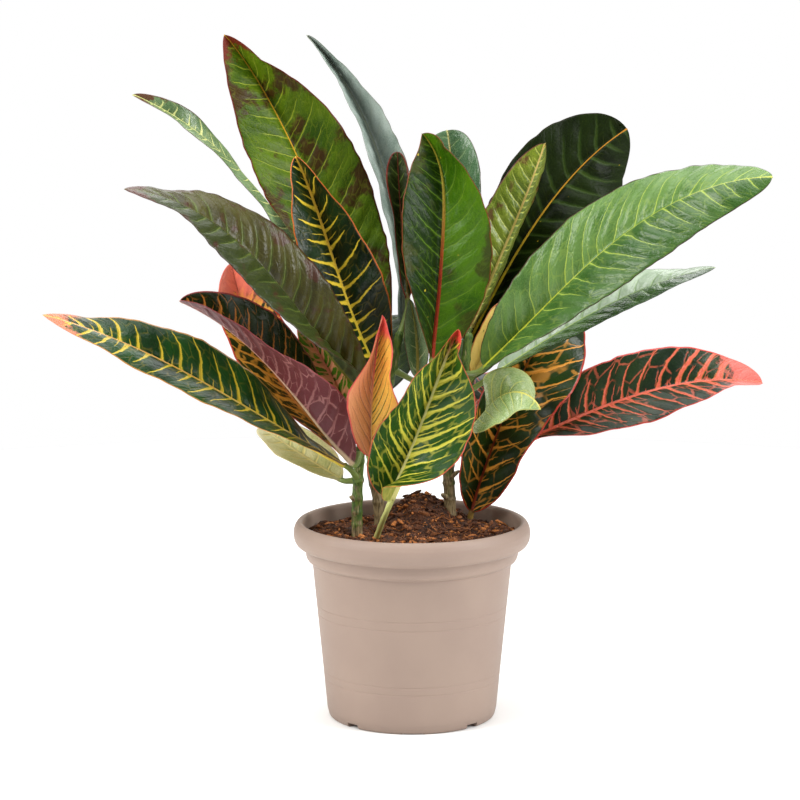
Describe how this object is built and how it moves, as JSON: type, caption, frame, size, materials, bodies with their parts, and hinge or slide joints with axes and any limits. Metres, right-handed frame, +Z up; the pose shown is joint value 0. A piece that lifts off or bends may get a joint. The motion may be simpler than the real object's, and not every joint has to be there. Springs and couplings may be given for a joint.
{
  "type": "potted croton",
  "caption": "Bushy croton with long glossy leaves in green, yellow and red, growing from soil in a round tapered nursery pot.",
  "frame": {"origin": "centre of the plant's bounding box at the plane that the pot stands on, which is also the pot's axis", "axes": "+Z up along the pot's axis, +X to the right across the widest spread of the leaves, front of the plant towards -Y"},
  "size_m": [0.5111, 0.2084, 0.4862],
  "materials": {
    "pot": "matte moulded plastic, mauve-taupe",
    "soil": "loose dark brown bark and peat",
    "stem": "green-brown bark with leaf scars",
    "leaf_long_left": "waxy leaf, satin to glossy",
    "leaf_folded_purple": "waxy leaf, satin to glossy",
    "leaf_orange_left": "waxy leaf, satin to glossy",
    "leaf_lower_left": "waxy leaf, satin to glossy",
    "leaf_pink_folded": "waxy leaf, satin to glossy",
    "leaf_inner_peach": "waxy leaf, satin to glossy",
    "leaf_quilted_left": "waxy leaf, satin to glossy",
    "leaf_narrow_left": "waxy leaf, satin to glossy",
    "leaf_tall_left": "waxy leaf, satin to glossy",
    "leaf_tall_silver": "waxy leaf, satin to glossy",
    "leaf_yellow_ribbed": "waxy leaf, satin to glossy",
    "leaf_small_dark": "waxy leaf, satin to glossy",
    "leaf_inner_pale": "waxy leaf, satin to glossy",
    "leaf_centre_green": "waxy leaf, satin to glossy",
    "leaf_top_grey": "waxy leaf, satin to glossy",
    "leaf_broad_dark": "waxy leaf, satin to glossy",
    "leaf_upright_olive": "waxy leaf, satin to glossy",
    "leaf_light_green_right": "waxy leaf, satin to glossy",
    "leaf_glossy_right": "waxy leaf, satin to glossy",
    "leaf_red_veined": "waxy leaf, satin to glossy",
    "leaf_small_right": "waxy leaf, satin to glossy",
    "leaf_inner_yellow": "waxy leaf, satin to glossy",
    "leaf_orange_veined": "waxy leaf, satin to glossy",
    "leaf_front_striped": "waxy leaf, satin to glossy",
    "leaf_rear_left": "waxy leaf, satin to glossy",
    "leaf_rear_centre": "waxy leaf, satin to glossy",
    "leaf_rear_right": "waxy leaf, satin to glossy",
    "leaf_rear_low_left": "waxy leaf, satin to glossy",
    "leaf_rear_low_right": "waxy leaf, satin to glossy"
  },
  "bodies": {
    "root": {"pot": "pot", "potting_soil": "soil", "stem_left": "stem", "stem_middle": "stem", "stem_right": "stem", "leaf_long_left": "leaf_long_left", "leaf_folded_purple": "leaf_folded_purple", "leaf_orange_left": "leaf_orange_left", "leaf_lower_left": "leaf_lower_left", "leaf_pink_folded": "leaf_pink_folded", "leaf_inner_peach": "leaf_inner_peach", "leaf_quilted_left": "leaf_quilted_left", "leaf_narrow_left": "leaf_narrow_left", "leaf_tall_left": "leaf_tall_left", "leaf_tall_silver": "leaf_tall_silver", "leaf_yellow_ribbed": "leaf_yellow_ribbed", "leaf_small_dark": "leaf_small_dark", "leaf_inner_pale": "leaf_inner_pale", "leaf_centre_green": "leaf_centre_green", "leaf_top_grey": "leaf_top_grey", "leaf_broad_dark": "leaf_broad_dark", "leaf_upright_olive": "leaf_upright_olive", "leaf_light_green_right": "leaf_light_green_right", "leaf_glossy_right": "leaf_glossy_right", "leaf_red_veined": "leaf_red_veined", "leaf_small_right": "leaf_small_right", "leaf_inner_yellow": "leaf_inner_yellow", "leaf_orange_veined": "leaf_orange_veined", "leaf_front_striped": "leaf_front_striped", "leaf_rear_left": "leaf_rear_left", "leaf_rear_centre": "leaf_rear_centre", "leaf_rear_right": "leaf_rear_right", "leaf_rear_low_left": "leaf_rear_low_left", "leaf_rear_low_right": "leaf_rear_low_right"}
  },
  "joints": []
}
